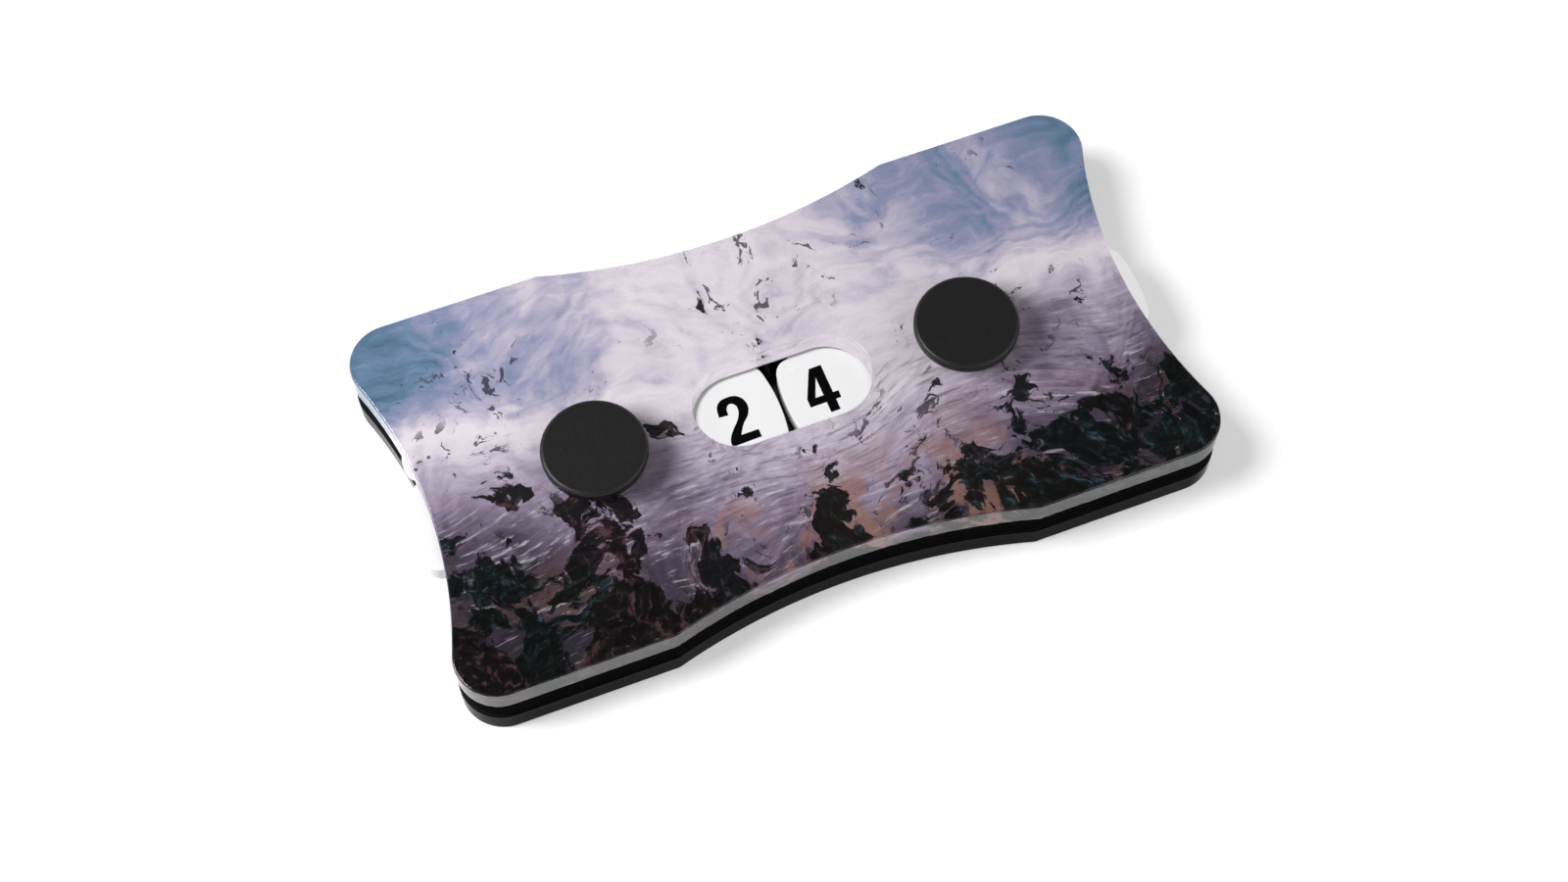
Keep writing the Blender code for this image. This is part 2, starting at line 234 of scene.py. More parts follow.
def patchy(tree, scale, detail, low, high, stretch=(1, 1, 1)):
    """Soft patches in the object's own space, between two values."""
    place = new_node(tree, "ShaderNodeTexCoord")
    spread = new_node(tree, "ShaderNodeMapping", {0: place.outputs["Object"], 3: stretch})
    links = {"Vector": spread.outputs[0], "Scale": scale, "Detail": detail}
    noise = new_node(tree, "ShaderNodeTexNoise", links)
    span = {0: noise.outputs[0], 1: NOISE_SPAN[0], 2: NOISE_SPAN[1], 3: low, 4: high}
    return new_node(tree, "ShaderNodeMapRange", span).outputs[0]


def shader_of(finish):
    """The one shader of a finish."""
    return finish.node_tree.nodes["Principled BSDF"]


def feed(finish, socket, value):
    """Lets a node drive a socket of a finish's shader."""
    finish.node_tree.links.new(value, shader_of(finish).inputs[socket])


def new_finish(name, colour, shine, roughness):
    """A material with one shader, evenly rough."""
    finish = bpy.data.materials.new(name)
    finish.use_nodes = True
    shader = shader_of(finish)
    shader.inputs["Base Color"].default_value = colour
    shader.inputs["Roughness"].default_value = roughness
    shader.inputs["Specular IOR Level"].default_value = shine
    shader.inputs["IOR"].default_value = ACRYLIC_IOR
    return finish


def patchy_finish(name, colour, shine, patches):
    """A material whose gloss varies in soft patches."""
    low, high = patches[2:4]
    finish = new_finish(name, colour, shine, (low + high) / 2)
    feed(finish, "Roughness", patchy(finish.node_tree, *patches))
    return finish


def add_grain(finish, scale, detail, depth):
    """Gives a finish a fine grain, with so many grains to the metre and so deep."""
    grain = patchy(finish.node_tree, scale, detail, 0, 1)
    bump = new_node(finish.node_tree, "ShaderNodeBump", {"Distance": depth, "Height": grain})
    feed(finish, "Normal", bump.outputs[0])


def levelness(tree):
    """How level the surface lies: 1 on the flat faces, 0 on the upright edges, and between on the rims."""
    facing = new_node(tree, "ShaderNodeNewGeometry")
    upward = new_node(tree, "ShaderNodeSeparateXYZ", {0: facing.outputs["Normal"]})
    return maths(tree, "ABSOLUTE", upward.outputs[2])


def add_cut_lines(finish, depth):
    """Gives a finish the fine upright lines that the laser leaves on a cut edge."""
    tree = finish.node_tree
    lines = patchy(tree, CUT_LINES_PER_METRE, 2, 0, 1, CUT_LINE_STRETCH)
    upright = maths(tree, "SUBTRACT", 1.0, levelness(tree))
    shown = maths(tree, "MULTIPLY", lines, maths(tree, "POWER", upright, CUT_LINE_FADE))
    bump = new_node(tree, "ShaderNodeBump", {"Distance": depth, "Height": shown})
    feed(finish, "Normal", bump.outputs[0])


def stepped_hole(work, x, bottom, top):
    """The hole under one axle, from its rim in the underside to its rim in the top face."""
    shelf = bottom + COUNTERBORE_DEPTH
    levels = [
        (COUNTERBORE_RADIUS + SOFTENED_RIM, bottom),
        (COUNTERBORE_RADIUS, bottom + SOFTENED_RIM),
        (COUNTERBORE_RADIUS, shelf - RIM_HOLD),
        (COUNTERBORE_RADIUS, shelf),
        (COUNTERBORE_RADIUS - RIM_HOLD, shelf),
        (BARREL_HOLE_RADIUS + RIM_HOLD, shelf),
        (BARREL_HOLE_RADIUS, shelf),
        (BARREL_HOLE_RADIUS, shelf + RIM_HOLD),
        (BARREL_HOLE_RADIUS, top),
    ]
    return turned_wall(work, x, levels)


# The edges' finish carries painted shade: its black is darker than the faces', so the upright edges stay
# dark.
edge_finish_with_painted_shade = patchy_finish("base_cut_edge_with_painted_shade", BASE_EDGE_BLACK_WITH_PAINTED_SHADE, BASE_EDGE_SHINE, BASE_EDGE_PATCHES)
add_cut_lines(edge_finish_with_painted_shade, CUT_LINE_DEPTH)
face_finish = patchy_finish("black_acrylic_face", FACE_BLACK, ACRYLIC_SHINE, FACE_PATCHES)

base_low, base_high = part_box("base_plate")
work = bmesh.new()
levels = rim_levels(base_low[2], base_high[2], BASE_RIM, SOFTENED_RIM)
base_edge = [sheet_loop(work, inset, height) for inset, height in levels]
under_rim, upper_rim = wall(work, base_edge)
holes = [stepped_hole(work, x, base_low[2], base_high[2]) for x in (-AXLE_X, AXLE_X)]
flat_face(work, [under_rim] + [hole[0] for hole in holes])
flat_face(work, [upper_rim] + [hole[1] for hole in holes])
finished(work, "base_sheet", [edge_finish_with_painted_shade, face_finish], "case", ["base_plate"])

# The spacers are strips of thin black foam tape, set back from the edge. They stick the rails to the base
# and leave the dark groove round the counter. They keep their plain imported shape, and only get a finish.
TAPE_BLACK = (0.006, 0.006, 0.006, 1)
TAPE_GRAIN = (9000, 2, 0.00003)

tape_finish = new_finish("foam_tape", TAPE_BLACK, shine=0.1, roughness=0.95)
add_grain(tape_finish, *TAPE_GRAIN)


def dress(node, finish):
    """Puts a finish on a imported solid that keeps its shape."""
    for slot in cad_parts[node].material_slots:
        slot.material = finish


dress("rear_spacer", tape_finish)
dress("front_spacer", tape_finish)

# The rails are two strips of black 3/32 inch acrylic that close round both wheels. Each follows the sheets'
# outline outside and the two round pockets inside, and ends in a sharp tip where a wheel looks out.
POCKET_RADIUS = 0.0237
POCKET_STEPS = 72
FINE_RIM = 0.00008
RAIL_SETBACK = 0.00012
RAIL_BLACK = (0.0062, 0.0058, 0.0062, 1)
RAIL_SHINE = 0.0002
RAIL_PATCHES = (110, 3, 0.30, 0.42)

rail_finish = patchy_finish("rail_acrylic", RAIL_BLACK, RAIL_SHINE, RAIL_PATCHES)
add_cut_lines(rail_finish, CUT_LINE_DEPTH)


def rail_loop(work, inset, height):
    """The front rail's outline: the sheets' edge, the tip, and the pocket's edge back to the middle."""
    before = all_of(work)
    last, end_x, end_radius, end_angle = sheet_quarter(work, inset + RAIL_SETBACK, height)
    pocket = POCKET_RADIUS + inset
    apart = end_x - AXLE_X
    tip_reach = (apart**2 + pocket**2 - end_radius**2) / (2 * apart)
    tip_y = math.sqrt(pocket**2 - tip_reach**2)
    tip_angle = math.atan2(tip_y, apart - tip_reach)
    tip = drawn_arc(work, last, (end_x, 0, height), tip_angle - end_angle, END_STEPS)
    cusp_y = math.sqrt(pocket**2 - AXLE_X**2)
    pocket_angle = math.pi - math.atan2(cusp_y, AXLE_X) - math.atan2(tip_y, tip_reach)
    drawn_arc(work, tip, (AXLE_X, 0, height), -pocket_angle, POCKET_STEPS)
    return closed_by_mirror(work, before, "X")


for name, half_turn in (("front_rail", 0), ("rear_rail", math.pi)):
    low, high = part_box(name)
    work = bmesh.new()
    levels = rim_levels(low[2], high[2], FINE_RIM, FINE_RIM)
    for rim in wall(work, [rail_loop(work, inset, height) for inset, height in levels]):
        flat_face(work, [rim])
    bmesh.ops.rotate(work, verts=work.verts, matrix=Matrix.Rotation(half_turn, 3, "Z"))
    finished(work, name + "_strip", [rail_finish], "case", [name])

# The wheels are white 3/32 inch acrylic, laser-cut with a small thumb notch between each two of ten lobes.
# Each has a bore for its sleeve and, from below, a round recess for its friction washer.
WHEEL_RADIUS = 0.02305
WHEEL_LOBES = 10
NOTCH_DEPTH = 0.0020
NOTCH_RADIUS = 0.0012
NOTCH_STEPS = 8
LOBE_CORNER_RADIUS = 0.0020
LOBE_CORNER_STEPS = 10
LOBE_STEPS = 8
WHEEL_BORE_RADIUS = 0.0041
WASHER_RECESS_RADIUS = 0.0067
WASHER_RECESS_DEPTH = 0.0006
WHEEL_WHITE = (0.92, 0.915, 0.925, 1)
WHEEL_PATCHES = (140, 3, 0.20, 0.30)
WHEEL_TURNS = {"left_wheel": math.radians(1.7), "right_wheel": math.radians(0.7)}
WHEEL_AXLES = {"left_wheel": -AXLE_X, "right_wheel": AXLE_X}

wheel_finish = patchy_finish("wheel_acrylic", WHEEL_WHITE, ACRYLIC_SHINE, WHEEL_PATCHES)
add_cut_lines(wheel_finish, CUT_LINE_DEPTH)


def wheel_loop(work, inset, height):
    """A wheel's outline about its own axle, with the first lobe's middle on +X."""
    pitch = 2 * math.pi / WHEEL_LOBES
    notch_x = WHEEL_RADIUS - NOTCH_DEPTH + NOTCH_RADIUS
    corner_reach = WHEEL_RADIUS - LOBE_CORNER_RADIUS
    between = NOTCH_RADIUS + LOBE_CORNER_RADIUS
    corner_angle = math.acos((notch_x**2 + corner_reach**2 - between**2) / (2 * notch_x * corner_reach))
    corner = (corner_reach * math.cos(corner_angle), corner_reach * math.sin(corner_angle), height)
    meeting_angle = math.atan2(corner[1], notch_x - corner[0])
    before = all_of(work)
    floor = work.verts.new((notch_x - NOTCH_RADIUS - inset, 0, height))
    side = drawn_arc(work, floor, (notch_x, 0, height), -meeting_angle, NOTCH_STEPS)
    shoulder = drawn_arc(work, side, corner, meeting_angle + corner_angle, LOBE_CORNER_STEPS)
    drawn_arc(work, shoulder, (0, 0, height), pitch / 2 - corner_angle, LOBE_STEPS)
    closed_by_mirror(work, before, "Y")
    unit = drawn_since(work, before)
    points = [item for item in unit if isinstance(item, bmesh.types.BMVert)]
    bmesh.ops.rotate(work, verts=points, matrix=Matrix.Rotation(pitch / 2, 3, "Z"))
    bmesh.ops.spin(
        work,
        geom=unit,
        axis=(0, 0, 1),
        angle=pitch * (WHEEL_LOBES - 1),
        steps=WHEEL_LOBES - 1,
        use_duplicate=True,
    )
    fresh = [v for v in work.verts if v not in before]
    bmesh.ops.remove_doubles(work, verts=fresh, dist=MERGE)
    return [e for e in work.edges if e not in before]


def on_axle(wheel):
    """The turn and place of a wheel, as it stands in the photograph."""
    return Matrix.Translation((WHEEL_AXLES[wheel], 0, 0)) @ Matrix.Rotation(WHEEL_TURNS[wheel], 4, "Z")


for name in WHEEL_TURNS:
    low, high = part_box(name)
    shelf = low[2] + WASHER_RECESS_DEPTH
    bore_levels = [
        (WASHER_RECESS_RADIUS, low[2]),
        (WASHER_RECESS_RADIUS, shelf - RIM_HOLD),
        (WASHER_RECESS_RADIUS, shelf),
        (WASHER_RECESS_RADIUS - RIM_HOLD, shelf),
        (WHEEL_BORE_RADIUS + RIM_HOLD, shelf),
        (WHEEL_BORE_RADIUS, shelf),
        (WHEEL_BORE_RADIUS, shelf + RIM_HOLD),
        (WHEEL_BORE_RADIUS, high[2]),
    ]
    work = bmesh.new()
    levels = rim_levels(low[2], high[2], FINE_RIM, FINE_RIM)
    edge = wall(work, [wheel_loop(work, inset, height) for inset, height in levels])
    bore = turned_wall(work, 0, bore_levels)
    for outer, inner in zip(edge, bore):
        flat_face(work, [outer, inner])
    bmesh.ops.transform(work, matrix=on_axle(name), verts=work.verts)
    finished(work, name + "_disc", [wheel_finish], name, [name])

# The numbers 0 to 9 stand round each wheel in bold narrow black print, one to a lobe. Each is upright when
# its lobe lies under the window. A table gives each figure's outlines as shares of its width and height.
NUMBER_WIDTH = 0.00385
NUMBER_HEIGHT = 0.0064
NUMBER_THICKNESS = 0.00003
NUMBER_CURVE_STEPS = 10
INK_BLACK = (0.0025, 0.0022, 0.0025, 1)
INK_SHINE = 0.04
INK_PATCHES = (900, 3, 0.34, 0.48)

# How far out and how far aside each wheel's numbers stand, which one shows, and on which side of the axle.
NUMBER_REACH = {"left_wheel": 0.01755, "right_wheel": 0.0185}
NUMBER_DRIFT = {"left_wheel": -0.00060, "right_wheel": 0.00026}
NUMBER_SHOWN = {"left_wheel": 2, "right_wheel": 4}
NUMBER_SIDE = {"left_wheel": 1, "right_wheel": -1}

# A point that ends in 1 is a sharp corner, and one that ends in 0 is on a smooth curve.
SIX_SHARES = [
    [
        (0.97, 0.74, 1), (0.84, 0.94, 0), (0.53, 1.0, 0), (0.15, 0.89, 0), (0.0, 0.48, 0), (0.12, 0.10, 0),
        (0.5, 0.0, 0), (0.87, 0.09, 0), (1.0, 0.32, 0), (0.88, 0.56, 0), (0.62, 0.635, 0), (0.43, 0.60, 0),
        (0.32, 0.53, 1), (0.36, 0.76, 0), (0.52, 0.85, 0), (0.63, 0.81, 0), (0.665, 0.72, 1),
    ],
    [
        (0.5, 0.49, 0), (0.64, 0.44, 0), (0.685, 0.32, 0), (0.64, 0.19, 0),
        (0.5, 0.145, 0), (0.36, 0.19, 0), (0.32, 0.32, 0), (0.36, 0.44, 0),
    ],
]
FIGURE_SHARES = {
    0: [
        [
            (0.5, 1.0, 0), (0.88, 0.88, 0), (1.0, 0.5, 0), (0.88, 0.12, 0),
            (0.5, 0.0, 0), (0.12, 0.12, 0), (0.0, 0.5, 0), (0.12, 0.88, 0),
        ],
        [
            (0.5, 0.855, 0), (0.65, 0.77, 0), (0.685, 0.5, 0), (0.65, 0.23, 0),
            (0.5, 0.145, 0), (0.35, 0.23, 0), (0.315, 0.5, 0), (0.35, 0.77, 0),
        ],
    ],
    1: [
        [
            (0.72, 0.0, 1), (0.72, 1.0, 1), (0.48, 1.0, 1), (0.36, 0.87, 0),
            (0.12, 0.80, 1), (0.12, 0.665, 1), (0.39, 0.70, 1), (0.39, 0.0, 1),
        ],
    ],
    2: [
        [
            (0.03, 0.0, 1), (0.99, 0.0, 1), (0.99, 0.165, 1), (0.42, 0.17, 1), (0.62, 0.36, 0),
            (0.90, 0.54, 0), (0.99, 0.73, 0), (0.85, 0.93, 0), (0.5, 1.0, 0), (0.15, 0.93, 0),
            (0.0, 0.66, 1), (0.31, 0.645, 1), (0.36, 0.80, 0), (0.50, 0.855, 0), (0.63, 0.80, 0),
            (0.665, 0.70, 0), (0.56, 0.53, 0), (0.20, 0.28, 0), (0.045, 0.12, 0),
        ],
    ],
    3: [
        [
            (0.0, 0.29, 1), (0.13, 0.08, 0), (0.49, 0.0, 0), (0.86, 0.08, 0), (1.0, 0.285, 0),
            (0.93, 0.45, 0), (0.77, 0.53, 1), (0.90, 0.61, 0), (0.96, 0.745, 0), (0.83, 0.93, 0),
            (0.49, 1.0, 0), (0.17, 0.93, 0), (0.03, 0.71, 1), (0.335, 0.69, 1), (0.37, 0.81, 0),
            (0.49, 0.855, 0), (0.61, 0.81, 0), (0.645, 0.72, 0), (0.58, 0.62, 0), (0.40, 0.595, 1),
            (0.40, 0.46, 1), (0.60, 0.43, 0), (0.68, 0.30, 0), (0.63, 0.19, 0), (0.49, 0.145, 0),
            (0.36, 0.20, 0), (0.31, 0.315, 1),
        ],
    ],
    4: [
        [
            (0.42, 1.0, 1), (0.82, 1.0, 1), (0.82, 0.38, 1), (1.0, 0.38, 1), (1.0, 0.23, 1), (0.82, 0.23, 1),
            (0.82, 0.0, 1), (0.51, 0.0, 1), (0.51, 0.23, 1), (-0.02, 0.23, 1), (-0.02, 0.41, 1),
        ],
        [(0.51, 0.79, 1), (0.24, 0.385, 1), (0.51, 0.385, 1)],
    ],
    5: [
        [
            (0.12, 1.0, 1), (0.93, 1.0, 1), (0.93, 0.835, 1), (0.41, 0.835, 1), (0.38, 0.63, 1),
            (0.60, 0.67, 0), (0.89, 0.58, 0), (1.0, 0.34, 0), (0.86, 0.08, 0), (0.49, 0.0, 0),
            (0.13, 0.08, 0), (0.0, 0.28, 1), (0.31, 0.30, 1), (0.36, 0.19, 0), (0.49, 0.145, 0),
            (0.64, 0.21, 0), (0.685, 0.34, 0), (0.64, 0.47, 0), (0.50, 0.53, 0), (0.40, 0.50, 0),
            (0.33, 0.44, 1), (0.04, 0.455, 1),
        ],
    ],
    6: SIX_SHARES,
    7: [
        [
            (0.0, 1.0, 1), (1.0, 1.0, 1), (1.0, 0.86, 1), (0.68, 0.49, 0),
            (0.51, 0.0, 1), (0.18, 0.0, 1), (0.35, 0.47, 0), (0.65, 0.835, 1), (0.0, 0.835, 1),
        ],
    ],
    8: [
        [
            (0.5, 1.0, 0), (0.84, 0.93, 0), (0.96, 0.75, 0), (0.90, 0.61, 0), (0.78, 0.53, 1),
            (0.94, 0.44, 0), (1.0, 0.285, 0), (0.87, 0.07, 0), (0.5, 0.0, 0), (0.13, 0.07, 0),
            (0.0, 0.285, 0), (0.06, 0.44, 0), (0.22, 0.53, 1), (0.10, 0.61, 0), (0.04, 0.75, 0),
            (0.16, 0.93, 0),
        ],
        [
            (0.5, 0.86, 0), (0.62, 0.82, 0), (0.655, 0.73, 0), (0.61, 0.64, 0),
            (0.5, 0.60, 0), (0.39, 0.64, 0), (0.345, 0.73, 0), (0.38, 0.82, 0),
        ],
        [
            (0.5, 0.46, 0), (0.64, 0.41, 0), (0.68, 0.30, 0), (0.635, 0.185, 0),
            (0.5, 0.14, 0), (0.365, 0.185, 0), (0.32, 0.30, 0), (0.36, 0.41, 0),
        ],
    ],
    9: [[(1 - across, 1 - up, corner) for across, up, corner in outline] for outline in SIX_SHARES],
}

ink_finish = patchy_finish("number_ink", INK_BLACK, INK_SHINE, INK_PATCHES)


def add_figure(work, figure, place):
    """Adds one figure to a wheel's print: drawn as a flat curve, made a mesh, then put in its place."""
    curve = bpy.data.curves.new("figure", "CURVE")
    curve.dimensions = "2D"
    curve.fill_mode = "BOTH"
    curve.extrude = NUMBER_THICKNESS / 2
    curve.resolution_u = NUMBER_CURVE_STEPS
    for outline in FIGURE_SHARES[figure]:
        spline = curve.splines.new("BEZIER")
        spline.bezier_points.add(len(outline) - 1)
        spline.use_cyclic_u = True
        for point, (across, up, corner) in zip(spline.bezier_points, outline):
            point.co = ((across - 0.5) * NUMBER_WIDTH, (up - 0.5) * NUMBER_HEIGHT, 0)
            point.handle_left_type = "VECTOR" if corner else "AUTO"
            point.handle_right_type = "VECTOR" if corner else "AUTO"
    drawn = bpy.data.objects.new("figure", curve)
    bpy.context.scene.collection.objects.link(drawn)
    graph = bpy.context.evaluated_depsgraph_get()
    mesh = bpy.data.meshes.new_from_object(drawn.evaluated_get(graph))
    mesh.transform(place)
    work.from_mesh(mesh)
    bpy.data.objects.remove(drawn)
    bpy.data.curves.remove(curve)
    bpy.data.meshes.remove(mesh)


for name, side in NUMBER_SIDE.items():
    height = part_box(name)[1][2] + NUMBER_THICKNESS / 4
    reach = Matrix.Translation((side * NUMBER_REACH[name], NUMBER_DRIFT[name], height))
    work = bmesh.new()
    for figure in FIGURE_SHARES:
        lobes_on = figure - NUMBER_SHOWN[name]
        turn = Matrix.Rotation(-2 * math.pi / WHEEL_LOBES * lobes_on, 4, "Z")
        add_figure(work, figure, on_axle(name) @ turn @ reach)
    bmesh.ops.remove_doubles(work, verts=work.verts, dist=MERGE)
    numbers = finished(work, name + "_numbers", [ink_finish], name)
    numbers.data.shade_flat()

# The sleeve round each post and the soft washer under each wheel are small turned rings that hardly show.
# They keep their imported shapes: the sleeve is natural nylon, and the washer is black rubber.
NYLON_CREAM = (0.74, 0.71, 0.63, 1)
NYLON_PATCHES = (1500, 4, 0.42, 0.58, (1, 1, 6))
RUBBER_BLACK = (0.02, 0.02, 0.02, 1)
RUBBER_GRAIN = (6000, 3, 0.00002)

nylon_finish = patchy_finish("sleeve_nylon", NYLON_CREAM, shine=0.4, patches=NYLON_PATCHES)
rubber_finish = new_finish("washer_rubber", RUBBER_BLACK, shine=0.3, roughness=0.8)
add_grain(rubber_finish, *RUBBER_GRAIN)
for side in ("left", "right"):
    dress(side + "_sleeve", nylon_finish)
    dress(side + "_friction_washer", rubber_finish)

# The picture is a thin printed film stuck to the underside of the cover, and cut with it. Its design is
# marbled ink: pale lilac mist that turns slate blue at the far side, brown and green pools at the near side,
# and fine dark veins.
WINDOW_LENGTH = 0.0220
WINDOW_WIDTH = 0.0110
WINDOW_STEPS = 24
FILM_INSET = 0.000003
FILM_BITE = 0.00003
MILLIMETRES = 1000
FILM_LILAC = (150, 140, 160)
NOISE_MIDDLE = (0.5, 0.5, 0.5)
RIDGE_OFFSET = 1.0
RIDGE_GAIN = 1.6


def slot_loop(work, inset, height):
    """The window's outline, a slot with half-round ends, widened by inset."""
    before = all_of(work)
    radius = WINDOW_WIDTH / 2 + inset
    end_x = (WINDOW_LENGTH - WINDOW_WIDTH) / 2
    start = work.verts.new((0, -radius, height))
    last = drawn_line(work, start, (end_x, -radius, height))
    drawn_arc(work, last, (end_x, 0, height), math.pi / 2, WINDOW_STEPS)
    return closed_by_mirror(work, before, "YX")


def round_loop(work, x, radius, height):
    """A circle about a place on the X axis."""
    place = Matrix.Translation((x, 0, height))
    made = bmesh.ops.create_circle(work, segments=HOLE_STEPS, radius=radius, matrix=place)
    ring = set(made["verts"])
    return [e for e in work.edges if e.verts[0] in ring and e.verts[1] in ring]


def paint(red, green, blue):
    """A colour as a screen shows it, from 0 to 255, made linear."""
    shares = [value / 255 for value in (red, green, blue)]
    return tuple(s / 12.92 if s <= 0.04045 else ((s + 0.055) / 1.055) ** 2.4 for s in shares) + (1,)


film_finish = new_finish("marbled_print", paint(*FILM_LILAC), shine=0.0, roughness=0.6)
film_tree = film_finish.node_tree


def ink_maths(operation, first, second=0.0, third=0.0):
    """One sum in the print."""
    return maths(film_tree, operation, first, second, third)


def moved_by(place, push, amount):
    """Pushes the print's place about by a coloured noise."""
    kind = "ShaderNodeVectorMath"
    centred = new_node(film_tree, kind, {0: push, 1: NOISE_MIDDLE}, operation="SUBTRACT")
    scaled = new_node(film_tree, kind, {0: centred.outputs[0], "Scale": amount}, operation="SCALE")
    return new_node(film_tree, kind, {0: place, 1: scaled.outputs[0]}, operation="ADD").outputs[0]


def stretched(place, stretch, degrees=0):
    """Turns the print's place on the sheet, and draws it out."""
    turn = (0, 0, math.radians(degrees))
    return new_node(film_tree, "ShaderNodeMapping", {0: place, 2: turn, 3: stretch}).outputs[0]


def print_noise(place, scale, detail, roughness=0.5, output=0):
    """A noise in the print."""
    links = {"Vector": place, "Scale": scale, "Detail": detail, "Roughness": roughness}
    return new_node(film_tree, "ShaderNodeTexNoise", links).outputs[output]


def ridged(place, scale, detail, roughness):
    """A noise of sharp ridges, for veins."""
    links = {"Vector": place, "Scale": scale, "Detail": detail, "Roughness": roughness}
    links.update({"Offset": RIDGE_OFFSET, "Gain": RIDGE_GAIN})
    settings = {"noise_type": "RIDGED_MULTIFRACTAL", "normalize": False}
    return new_node(film_tree, "ShaderNodeTexNoise", links, **settings).outputs[0]


def ramp(value, colours):
    """A row of colours along a value."""
    node = new_node(film_tree, "ShaderNodeValToRGB", {0: value})
    while len(node.color_ramp.elements) < len(colours):
        node.color_ramp.elements.new(0.5)
    for element, (place, *colour) in zip(node.color_ramp.elements, colours):
        element.position = place
        element.color = paint(*colour)
    return node.outputs[0]


def mixed(share, first, second, blend="MIX"):
    """Lays one colour of the print over another."""
    links = {0: share, 6: first, 7: second}
    return new_node(film_tree, "ShaderNodeMix", links, data_type="RGBA", blend_type=blend).outputs[2]


def step_up(value, low, high, top=1.0):
    """0 up to low, rising softly to top at high."""
    links = {0: value, 1: low, 2: high, 3: 0.0, 4: top}
    return new_node(film_tree, "ShaderNodeMapRange", links, interpolation_type="SMOOTHSTEP").outputs[0]


def times(first, second):
    """The product of two masks."""
    return ink_maths("MULTIPLY", first, second)


def swung(noise, swing):
    """A noise made to swing about nothing, half of swing each way."""
    return ink_maths("MULTIPLY_ADD", noise, swing, -swing / 2)


# Places on the film are in millimetres from its middle. Three folds of noise push them about, so that the
# ink looks dragged. A noise is given by how many go to the millimetre, its detail, and maybe its roughness.
# A soft step is given by where it starts, where it is full, and maybe how strong it is then.
FOLDS = [(0.030, 1, 18), (0.10, 3, 11), (0.45, 4, 2.6)]
FOLDED_SHARE = 0.5
ENDS_ARE_DEEPER = (6, 36, 6.0)
LEFT_IS_DEEPER = (2, 38, 4.5)
DEEP_ZERO = 2.5

film_place = new_node(film_tree, "ShaderNodeTexCoord").outputs["Object"]
millimetres = stretched(film_place, (MILLIMETRES, MILLIMETRES, MILLIMETRES))
folds = [millimetres]
for scale, detail, push in FOLDS:
    folds.append(moved_by(folds[-1], print_noise(folds[-1], scale, detail, output=1), push))
first_fold, second_fold, third_fold = folds[1:]
straight = new_node(film_tree, "ShaderNodeSeparateXYZ", {0: millimetres}).outputs
waved = new_node(film_tree, "ShaderNodeSeparateXYZ", {0: first_fold}).outputs
folded = new_node(film_tree, "ShaderNodeSeparateXYZ", {0: second_fold}).outputs
folded_part = ink_maths("MULTIPLY", folded[1], FOLDED_SHARE)
across = ink_maths("MULTIPLY_ADD", straight[1], 1 - FOLDED_SHARE, folded_part)
off_middle = ink_maths("ABSOLUTE", waved[0])
leftward = ink_maths("MULTIPLY", waved[0], -1.0)
lowered = ink_maths("ADD", step_up(off_middle, *ENDS_ARE_DEEPER), step_up(leftward, *LEFT_IS_DEEPER))
deep = ink_maths("ADD", ink_maths("SUBTRACT", across, lowered), DEEP_ZERO)

# The mist is pale in the middle, slate blue towards the far corners and mauve at the near side, with soft
# bands. Each of its colours has its place on the mist's level, and its red, green and blue.
MIST_COLOURS = [
    (0.00, 44, 40, 48),
    (0.12, 84, 74, 90),
    (0.26, 136, 122, 144),
    (0.40, 180, 168, 187),
    (0.53, 220, 211, 222),
    (0.62, 232, 223, 230),
    (0.70, 214, 206, 218),
    (0.77, 182, 177, 199),
    (0.84, 147, 150, 182),
    (0.92, 109, 134, 163),
    (1.00, 73, 108, 131),
]
MIST_MIDDLE = 0.50
MIST_PALEST = 0.62
MIST_RISE = 1 / 54
FAR_SIDE = (-2, 18)
ENDS_ARE_BLUER = (3, 31, 0.245)
CORNERS_ARE_BLUER = (34, 48, 0.06)
ENDS_ARE_DIMMER = (22, 42, 0.11)
DIMMER_BELOW = (13, 4)
CLOUD_NOISE = (0.075, 5, 0.55)
CLOUD_SWING = 0.50
BRUSH_NOISE = (0.50, 7, 0.62)
BRUSH_STRETCH = (0.20, 1.3, 1)
BRUSH_TURN = -14
BRUSH_SWING = 0.26
RING_NOISE = (0.040, 1)
RING_TURNS = 95
RING_SWING = 0.018

brush = print_noise(stretched(second_fold, BRUSH_STRETCH, BRUSH_TURN), *BRUSH_NOISE)
cloud = print_noise(second_fold, *CLOUD_NOISE)
rings = ink_maths("SINE", ink_maths("MULTIPLY", print_noise(second_fold, *RING_NOISE), RING_TURNS))
level = ink_maths("MINIMUM", ink_maths("MULTIPLY_ADD", deep, MIST_RISE, MIST_MIDDLE), MIST_PALEST)
bluer = ink_maths("ADD", step_up(off_middle, *ENDS_ARE_BLUER), step_up(off_middle, *CORNERS_ARE_BLUER))
dimmer = times(step_up(off_middle, *ENDS_ARE_DIMMER), step_up(across, *DIMMER_BELOW))
cornered = ink_maths("MULTIPLY_ADD", step_up(across, *FAR_SIDE), bluer, level)
clouded = ink_maths("ADD", ink_maths("SUBTRACT", cornered, dimmer), swung(cloud, CLOUD_SWING))
ringed = ink_maths("MULTIPLY_ADD", rings, RING_SWING, clouded)
mist = ramp(ink_maths("ADD", ringed, swung(brush, BRUSH_SWING)), MIST_COLOURS)

# Dry streaks of darker and paler ink run along the counter at the near side.
NEAR_SIDE = (6, -8)
DRAG_NOISE = (0.9, 8, 0.68)
DRAG_STRETCH = (0.16, 1.7, 1)
DRAG_TURN = 4
DARK_STREAKS = (0.50, 0.66, 0.66)
DARK_STREAK = (78, 66, 86)
PALE_STREAKS = (0.46, 0.32, 0.60)
PALE_STREAK = (222, 214, 226)

